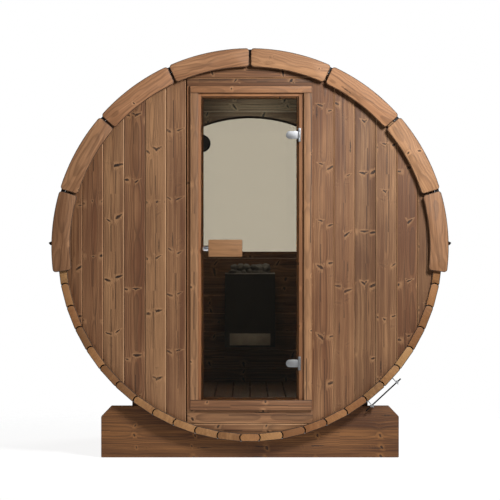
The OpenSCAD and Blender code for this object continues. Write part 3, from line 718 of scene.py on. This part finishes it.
def ring_piece(node, name):
    """Fascia boards, each with its grain straight along its chord, from the left foot over to the right."""
    boards = Boards(node)
    ring = sorted(solids(node), key=lambda bm: math.atan2(middle_of(bm).x, middle_of(bm).z - AXIS_Z))
    for board, tone in zip(ring, RING_TONES):
        out = outward(board)
        boards.add(board, Y.cross(out), out, tone=tone, arris=0.0032, arris_way=Y)
    boards.piece(name, [trim_wood, trim_end, trim_rim_joints_and_painted_shade], CABIN, "trim_wood", node)


ring_piece("front_trim_ring", "front_fascia")
ring_piece("rear_trim_ring", "rear_fascia")


def timber_piece(node, name, materials, body, slot, soft=0.0015, arris=0.0, tones=()):
    """Straight timbers, each with its grain along its longest side.

    tones holds the shade of each timber, from left to right and then upwards.
    """
    boards = Boards(node)
    timbers = sorted(solids(node), key=lambda bm: (round(middle_of(bm).x, 2), middle_of(bm).z))
    for number, timber in enumerate(timbers):
        spans = [max(v.co[i] for v in timber.verts) - min(v.co[i] for v in timber.verts) for i in range(3)]
        longest, second, _ = sorted(range(3), key=lambda i: -spans[i])
        tone = tones[number] if tones else None
        boards.add(timber, (X, Y, Z)[longest], (X, Y, Z)[second], soft, tone, arris, Y)
    return boards.piece(name, materials, body, slot, node)


timber_piece("cradle_front", "cradle_plank_front", [cradle_wood, cradle_end], CABIN, "cradle_wood", 0.005,
             tones=(0.37,))
timber_piece("cradle_rear", "cradle_plank_rear", [cradle_wood, cradle_end], CABIN, "cradle_wood", 0.005)
timber_piece("cradle_bearer_left", "bearer_left", [cradle_wood, cradle_end], CABIN, "cradle_wood", 0.002)
timber_piece("cradle_bearer_right", "bearer_right", [cradle_wood, cradle_end], CABIN, "cradle_wood", 0.002)
timber_piece("door_posts", "door_frame_posts", [frame_wood, wall_end], CABIN, "door_wood")
timber_piece("door_casing", "door_casing_boards", [casing_wood, wall_end, trim_rim_joints_and_painted_shade], CABIN, "door_wood",
             arris=0.0016, tones=(0.45, -0.09, 0.78, 0.51))
timber_piece("door_stops", "door_stop_strips", [frame_wood, wall_end], CABIN, "door_wood",
             tones=(-0.1, 0.25, 0.3, 0.3))
timber_piece("rear_window_beads", "window_beads", [casing_wood, wall_end], CABIN, "door_wood")
timber_piece("floor_slats", "floor_boards", [inside_wood, wall_end], CABIN, "inside_wood", 0.003,
             tones=(0.1, 0.02, 0.14, 0.05, 0.0, 0.12, 0.04, 0.1, 0.0, 0.08))
timber_piece("floor_joists", "joists", [inside_wood, wall_end], CABIN, "inside_wood", 0.002)
timber_piece("door_handle", "handle_blocks", [handle_wood, handle_wood], DOOR, "door_wood", 0.005,
             tones=(0.62, 0.57))


# ---------------------------------------------------------------- glass

def sheet_piece(node, name, material, body):
    """A pane with ground edges."""
    bm = solids(node)[0]
    bmesh.ops.recalc_face_normals(bm, faces=bm.faces)
    bevel(bm, sharp_edges(bm, 60), 0.0009, 1)
    return make_piece(name, bm, [material], body, (node,))


sheet_piece("door_glass", "door_pane", door_tint, DOOR)
sheet_piece("rear_window_pane", "window_pane", pane_clear, CABIN)


# ---------------------------------------------------------------- roof

# Radii round the barrel's axis, and angles from its top, where the covering's edge and its upturn end
roof_lo, roof_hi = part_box("roof_felt")
ROOF_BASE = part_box("band_front")[1].z - AXIS_Z + 0.0006
ROOF_OUT = ROOF_BASE + 0.0039
ROOF_END = math.acos((roof_lo.z - AXIS_Z) / ROOF_OUT)
UPTURN_T = 0.0028
UPTURN_TOP = roof_hi.z - AXIS_Z
UPTURN_FOOT = UPTURN_TOP - 0.0115
UPTURN_END = math.acos(0.062)


def curved_plate(bm, a0, a1, y0, y1, in0, out0, in1, out1, tone, layer, steps, material=0):
    """A plate bent round the barrel. The radii go from in0, out0 at a0 to in1, out1 at a1."""
    rows = []
    for i in range(steps + 1):
        f = i / steps
        out = radial(a0 + (a1 - a0) * f)
        inner, outer = in0 + (in1 - in0) * f, out0 + (out1 - out0) * f
        row = []
        for y, radius in ((y0, inner), (y1, inner), (y1, outer), (y0, outer)):
            vert = bm.verts.new(out * radius + Vector((0, y, AXIS_Z)))
            vert[layer] = tone
            row.append(vert)
        rows.append(row)
    bridge(bm, rows, material)
    cap_ends(bm, rows, material)


def roof_piece():
    """Strip shingles with cut tabs, lapped down both sides from a ridge of caps."""
    bm = bmesh.new()
    layer = bm.verts.layers.float.new("tone")
    curved_plate(bm, -ROOF_END, ROOF_END, -STAVE_Y, STAVE_Y, ROOF_BASE, ROOF_BASE + 0.0008,
                 ROOF_BASE, ROOF_BASE + 0.0008, 0.4, layer, 96)
    exposure = 0.143
    courses = int(ROOF_END * ROOF_OUT / exposure)
    step = ROOF_END / (courses + 0.35)
    tab, slit = 0.3, 0.006
    for side in (-1, 1):
        for i in range(courses + 1):
            low_edge = ROOF_END - step * i
            high_edge = max(low_edge - step * 1.12, 0.0)
            y = -STAVE_Y - (tab / 2 if i % 2 else 0.0)
            while y < STAVE_Y - 1e-6:
                first, last = max(y + slit / 2, -STAVE_Y), min(y + tab - slit / 2, STAVE_Y)
                if last - first > 0.01:
                    ragged = rng.uniform(-0.0015, 0.0)
                    curved_plate(bm, side * high_edge, side * (low_edge + ragged), first, last,
                                 ROOF_BASE + 0.0007, ROOF_BASE + 0.0010, ROOF_BASE + 0.0011,
                                 ROOF_OUT - 0.0001 - rng.uniform(0, 0.0004), rng.random(), layer, 4)
                y += tab
    cap_l = 0.15
    count = int(2 * STAVE_Y / cap_l)
    for i in range(count):
        y0 = -STAVE_Y + 2 * STAVE_Y * i / count
        y1 = y0 + 2 * STAVE_Y / count - 0.002
        curved_plate(bm, -0.085, 0.085, y0, y1, ROOF_OUT - 0.0022, ROOF_OUT, ROOF_OUT - 0.0022, ROOF_OUT,
                     rng.random(), layer, 6)
    for y in (-STAVE_Y, STAVE_Y - UPTURN_T):
        for side in (-1, 1):
            curved_plate(bm, 0, side * UPTURN_END, y, y + UPTURN_T, ROOF_OUT - 0.001, UPTURN_TOP,
                         ROOF_OUT - 0.001, UPTURN_FOOT, 0.5, layer, 48, 1)
    return make_piece("roof_shingles", bm, [shingle, drip_black], CABIN, ("roof_felt",), 50)


roof_piece()


def drip_piece():
    """The flared strips, softened only along their length."""
    bm = bmesh.new()
    for solid in solids("drip_edges"):
        bmesh.ops.recalc_face_normals(solid, faces=solid.faces)
        edges = sharp_edges(solid, 30)
        runs = [e for e in edges if abs((e.verts[1].co - e.verts[0].co).normalized().y) > 0.9]
        bevel(solid, runs, 0.0006)
        merge(bm, solid)
    make_piece("drip_strips", bm, [drip_black], CABIN, ("drip_edges",))


drip_piece()


# ---------------------------------------------------------------- metal

def metal_piece(node, name, materials, body, soft, extra=None):
    """A node's own shape with softened edges, and whatever extra adds to it."""
    bm = bmesh.new()
    for solid in solids(node):
        bmesh.ops.recalc_face_normals(solid, faces=solid.faces)
        bevel(solid, sharp_edges(solid), soft)
        merge(bm, solid)
    if extra:
        extra(bm)
    return make_piece(name, bm, materials, body, (node,))


def hex_nut(radius, height, bore):
    """A nut with its corners turned off at both ends and a chamfered bore."""
    bm = bmesh.new()
    flat = radius * math.cos(math.pi / 6)
    steps = 48
    rings = []
    for share, height_at in ((0.94, 0.0), (1.0, 0.1), (1.0, 0.9), (0.94, 1.0)):
        ring = []
        for i in range(steps):
            angle = 2 * math.pi * i / steps
            to_flat = (angle + math.pi / 6) % (math.pi / 3) - math.pi / 6
            reach = min(flat / math.cos(to_flat), radius * share)
            ring.append(bm.verts.new((reach * math.cos(angle), reach * math.sin(angle), height * height_at)))
        rings.append(ring)
    for widen, height_at in ((1.12, 1.0), (1.0, 0.93), (1.0, 0.07), (1.12, 0.0)):
        rings.append(round_ring(bm, bore * widen, height * height_at, steps))
    bridge(bm, rings + rings[:1])
    return bm


def threaded_rod(length, crest, root, pitch):
    """A rod with a cut thread along its whole length."""
    bm = bmesh.new()
    steps, per_turn = 20, 4
    count = int(length / pitch * per_turn)
    rings = []
    for k in range(count + 1):
        fade = min(1.0, min(k, count - k) / per_turn)
        ring = []
        for i in range(steps):
            turn = i / steps
            phase = (k / per_turn - turn) % 1.0
            radius = root + (crest - root) * abs(phase * 2 - 1) * (0.4 + 0.6 * fade)
            x, y = radius * math.cos(2 * math.pi * turn), radius * math.sin(2 * math.pi * turn)
            ring.append(bm.verts.new((x, y, length * k / count)))
        rings.append(ring)
    bridge(bm, rings)
    cap_ends(bm, rings)
    return bm


def rod_ends(node):
    """Middles of the rod's two round end faces, the lower one first."""
    bm = solids(node)[0]
    ends = [f.calc_center_median() for f in bm.faces if len(f.verts) > 20]
    bm.free()
    ends = sorted(ends, key=lambda p: p.z)
    return ends[0].copy(), ends[-1].copy()


LUG_GAP, LUG_T = 0.085, 0.005
NUT_H, NUT_R = 0.008, 0.0072
ROD_R, ROD_PITCH, ROD_HEAD = 0.004, 0.00125, 0.117


def tensioner_piece(tag):
    """A threaded rod with a nut outside each of the strap's two lugs."""
    start, end = rod_ends("tension_rod_" + tag)
    way = (end - start).normalized()
    if (end - start).length - 2 * ROD_HEAD < 0:
        start, way = end, -way
    bm = bmesh.new()
    turn = placed(start, way, Y)
    merge(bm, threaded_rod((end - start).length, ROD_R, ROD_R * 0.84, ROD_PITCH), turn)
    tail_first = (end - start).length - ROD_HEAD
    for side in (-1, 1):
        face = tail_first + side * (LUG_GAP + LUG_T)
        base = face if side > 0 else face - NUT_H
        merge(bm, hex_nut(NUT_R, NUT_H, ROD_R), turn @ Matrix.Translation((0, 0, base)), 1)
    make_piece("threaded_rod_" + tag, bm, [rod_painted_dark_reflection, band_steel], CABIN,
               ("tension_rod_" + tag,))


for tag in ("front", "rear"):
    metal_piece("band_" + tag, "strap_" + tag, [band_steel], CABIN, 0.0004)
    tensioner_piece(tag)


def screw_head(radius, height):
    """A pan-head screw with a round socket."""
    bm = bmesh.new()
    profile = ((1.0, 0.0), (1.0, 0.4), (0.86, 0.8), (0.55, 1.0), (0.5, 1.0))
    rings = [round_ring(bm, radius * out, height * up, 24) for out, up in profile]
    bridge(bm, rings)
    cap_ends(bm, rings)
    lid = [f for f in bm.faces if len(f.verts) == 24 and f.calc_center_median().z > height * 0.9]
    bmesh.ops.inset_region(bm, faces=lid, thickness=radius * 0.06, depth=0.0)
    bmesh.ops.translate(bm, verts=lid[0].verts[:], vec=(0, 0, -height * 0.5))
    return bm


clamp_lo, clamp_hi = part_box("door_clamps")
clamp_zs = sorted(round(middle_of(clamp).z, 3) for clamp in solids("door_clamps"))


def clamp_screws(bm):
    """Two socket screws on each clamp's inner pad, where they draw it to the glass."""
    for z in (clamp_zs[0], clamp_zs[-1]):
        for x in (clamp_lo.x + 0.018, clamp_lo.x + 0.036):
            merge(bm, screw_head(0.0042, 0.0022), placed(Vector((x, clamp_hi.y - 0.0001, z)), Y))


metal_piece("hinge_plates", "hinge_leaves", [hinge_steel], CABIN, 0.0008)
metal_piece("door_clamps", "glass_clamps", [hinge_steel], DOOR, 0.0012, extra=clamp_screws)
metal_piece("door_catch", "roller_catch", [catch_chrome], DOOR, 0.0008)


# ---------------------------------------------------------------- vent

def vent_mesh(bm):
    """Woven wire cloth over the vent's mouth."""
    low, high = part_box("rear_vent")
    middle = Vector(((low.x + high.x) / 2, low.y + 0.0022, (low.z + high.z) / 2))
    reach = (high.x - low.x) / 2 - 0.009
    pitch, wire = 0.0036, 0.00055
    count = int(reach / pitch)
    for way, cross, flip in ((X, Z, 1), (Z, X, -1)):
        for i in range(-count, count + 1):
            half = math.sqrt(max(reach ** 2 - (i * pitch) ** 2, 0.0))
            steps = max(4, int(2 * half / pitch) * 2)
            rings = []
            for k in range(steps + 1):
                at = -half + 2 * half * k / steps
                lift = flip * wire * math.cos(math.pi * (at / pitch + i))
                spot = middle + way * at + cross * (i * pitch) + Y * lift
                rings.append([bm.verts.new(spot + cross * (wire * math.cos(a)) + Y * (wire * math.sin(a)))
                              for a in (0.0, 2.1, 4.2)])
            bridge(bm, rings, 1)


metal_piece("rear_vent", "vent_rim", [vent_black, vent_wire], CABIN, 0.0008, extra=vent_mesh)


# ---------------------------------------------------------------- heater

house_lo, house_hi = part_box("heater_housing")
panel_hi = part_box("heater_panel")[1]
stone_lo, stone_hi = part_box("heater_stones")


def heater_extras(bm):
    """A rolled rim round the basket and louvres low on both sides."""
    rim_z = house_hi.z
    back = stone_hi.y + 0.003
    for low, high in (((house_lo.x, panel_hi.y - 0.001), (house_hi.x, panel_hi.y + 0.006)),
                      ((house_lo.x, back - 0.006), (house_hi.x, back)),
                      ((house_lo.x, panel_hi.y), (house_lo.x + 0.006, back)),
                      ((house_hi.x - 0.006, panel_hi.y), (house_hi.x, back))):
        add_box(bm, (*low, rim_z - 0.006), (*high, rim_z + 0.0005), 0.0012, material=1)
    for i in range(7):
        z = house_lo.z + 0.05 + 0.022 * i
        for x in (house_lo.x, house_hi.x):
            add_box(bm, (x - 0.003, panel_hi.y + 0.03, z), (x + 0.003, back - 0.03, z + 0.006), 0.001)


metal_piece("heater_housing", "heater_case", [heater_black, satin_plate], CABIN, 0.001,
            extra=heater_extras)
metal_piece("heater_panel", "heater_plate", [satin_plate], CABIN, 0.0012)


def rough_stone(size, facets, offset_y, offset_z):
    """A broken stone round the origin, flattened towards each facet's direction."""
    stone = bmesh.new()
    bmesh.ops.create_icosphere(stone, subdivisions=3, radius=size)
    stretch = Vector((rng.uniform(0.85, 1.15), rng.uniform(0.8, 1.1), rng.uniform(0.65, 0.95)))
    spin = Matrix.Rotation(rng.uniform(0, 6.28), 3, "Z") @ Matrix.Rotation(rng.uniform(-0.6, 0.6), 3, "X")
    offset = Vector((rng.uniform(0, 99), offset_y, offset_z))
    for v in stone.verts:
        way = v.co.normalized()
        facet = max(abs(way.dot(d)) for d in facets)
        bump = noise.noise(way * 2.1 + offset) * 0.16 + noise.noise(way * 6.0 + offset) * 0.05
        v.co = spin @ Vector([c * k for c, k in zip(v.co * (1.12 - 0.22 * facet + bump), stretch)])
    return stone


# Each level of stones: its height over the basket's shelf, its distance from the sides, and its counts
STONE_LEVELS = ((0.022, 0.024, 7, 5), (0.058, 0.026, 7, 5), (0.088, 0.03, 6, 4))


def stones_piece():
    """Rough stones packed from the shelf to over the rim, each kept inside the basket."""
    bm = bmesh.new()
    layer = bm.verts.layers.float.new("tone")
    facets = [Vector([rng.uniform(-1, 1) for _ in range(3)]).normalized() for _ in range(7)]
    shift = rng.uniform(0, 50)
    for level, (height, inset, nx, ny) in enumerate(STONE_LEVELS):
        lo = stone_lo + Vector((inset, inset, height))
        room = stone_hi - stone_lo - 2 * Vector((inset, inset, 0))
        for i, j in ((i, j) for i in range(nx) for j in range(ny)):
            size = rng.uniform(0.02, 0.0275)
            x = lo.x + room.x * (i + 0.5) / nx + rng.uniform(-0.005, 0.005)
            y = lo.y + room.y * (j + 0.5) / ny + rng.uniform(-0.005, 0.005)
            z = min(lo.z + rng.uniform(-0.006, 0.008), stone_hi.z - size * 0.9)
            stone = rough_stone(size, facets, shift, level * 7.0)
            tone = rng.random()
            made = {}
            for v in stone.verts:
                place = v.co + Vector((x, y, z))
                inside = [min(max(c, a + 0.0004), b - 0.0004) for c, a, b in zip(place, stone_lo, stone_hi)]
                made[v] = bm.verts.new(inside)
                made[v][layer] = tone
            for f in stone.faces:
                bm.faces.new([made[v] for v in f.verts])
            stone.free()
    return make_piece("stones", bm, [rock], CABIN, ("heater_stones",), 40)


stones_piece()


# ---------------------------------------------------------------- stage

def floor_piece():
    """A pale round floor that fades out into the white round it."""
    t = Tree("studio_floor")
    place = t.split(t.object_place())
    away = t.math("SQRT", t.add(t.math("POWER", place[0], 2.0), t.math("POWER", place[1], 2.0)))
    soft = t.noise(t.object_place(), 0.6, 3.0)
    t.shader.inputs["Emission Color"].default_value = (1, 1, 1, 1)
    t.shader.inputs["Emission Strength"].default_value = 0.87
    t.finish(color=t.mix(soft, (0.25, 0.25, 0.25), (0.27, 0.27, 0.27)), rough=0.9,
             alpha=t.smooth(away, 1.5, 3.4, 1.0, 0.0))
    bm = bmesh.new()
    bmesh.ops.create_circle(bm, cap_ends=True, radius=3.5, segments=96)
    mesh = bpy.data.meshes.new("studio_floor")
    bm.to_mesh(mesh)
    bm.free()
    mesh.materials.append(t.material)
    floor = bpy.data.objects.new("studio_floor", mesh)
    floor.location.z = -0.0005
    bpy.context.scene.collection.objects.link(floor)


def light(name, place, aim, size, power, color=(1, 1, 1)):
    data = bpy.data.lights.new(name, "AREA")
    data.shape = "DISK"
    data.size = size
    data.energy = power
    data.color = color
    lamp = bpy.data.objects.new(name, data)
    lamp.location = place
    lamp.rotation_euler = (Vector(aim) - Vector(place)).to_track_quat("-Z", "Y").to_euler()
    bpy.context.scene.collection.objects.link(lamp)
    return lamp


def studio():
    """White world, key from the right, weak fill, back light, and two small lamps inside the cabin."""
    world = bpy.data.worlds.new("studio")
    bpy.context.scene.world = world
    world.use_nodes = True
    nodes, links = world.node_tree.nodes, world.node_tree.links
    back = nodes["Background"]
    back.inputs["Color"].default_value = (1, 1, 1, 1)
    path = nodes.new("ShaderNodeLightPath")
    # White for what the camera sees, also through glass, but not for light that has met a surface
    unlit = nodes.new("ShaderNodeMath")
    unlit.operation = "LESS_THAN"
    unlit.inputs[1].default_value = 0.5
    links.new(path.outputs["Diffuse Depth"], unlit.inputs[0])
    through = nodes.new("ShaderNodeMath")
    through.operation = "MULTIPLY"
    links.new(path.outputs["Is Transmission Ray"], through.inputs[0])
    links.new(unlit.outputs[0], through.inputs[1])
    seen = nodes.new("ShaderNodeMath")
    seen.operation = "MAXIMUM"
    links.new(path.outputs["Is Camera Ray"], seen.inputs[0])
    links.new(through.outputs[0], seen.inputs[1])
    level = nodes.new("ShaderNodeMapRange")
    level.inputs["To Min"].default_value = 0.17
    level.inputs["To Max"].default_value = 1.0
    links.new(seen.outputs[0], level.inputs["Value"])
    links.new(level.outputs[0], back.inputs["Strength"])
    aim = Vector((0, -0.9, AXIS_Z))
    side, rise = math.radians(29), math.radians(28)
    key_way = Vector((math.sin(side) * math.cos(rise), -math.cos(side) * math.cos(rise), math.sin(rise)))
    light("key", aim + key_way * 4.0, aim, 1.0, 197)
    light("fill", (-4.5, -5.0, 2.6), aim, 3.0, 22)
    light("back", (1.5, 6.0, 4.5), (0, 0, AXIS_Z), 3.0, 120)
    rear_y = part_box("rear_window_beads")[1].y
    inside = light("inside", (0, rear_y - 0.32, AXIS_Z + 0.78), (0, rear_y, AXIS_Z + 0.86), 0.3, 3.5,
                   (0.33, 0.6, 1.0))
    over = light("over_heater", (0, house_lo.y - 0.1, AXIS_Z + 0.7), (0, stone_lo.y + 0.1, stone_hi.z), 0.25,
                 3.6)
    for lamp in (inside, over):
        lamp.visible_camera = lamp.visible_transmission = lamp.visible_glossy = False


def camera():
    """A long lens square to the front, level with the barrel's axis."""
    distance = 12.0
    data = bpy.data.cameras.new("camera")
    data.sensor_width = 36.0
    data.lens = 166.7
    cam = bpy.data.objects.new("camera", data)
    cam.location = (0.0, cad_bounds[0].y - distance, AXIS_Z - 0.004)
    cam.rotation_euler = (math.pi / 2, 0, 0)
    bpy.context.scene.collection.objects.link(cam)
    bpy.context.scene.camera = cam


floor_piece()
studio()
camera()
bpy.context.scene.view_settings.view_transform = "Standard"
bpy.context.scene.view_settings.look = "None"
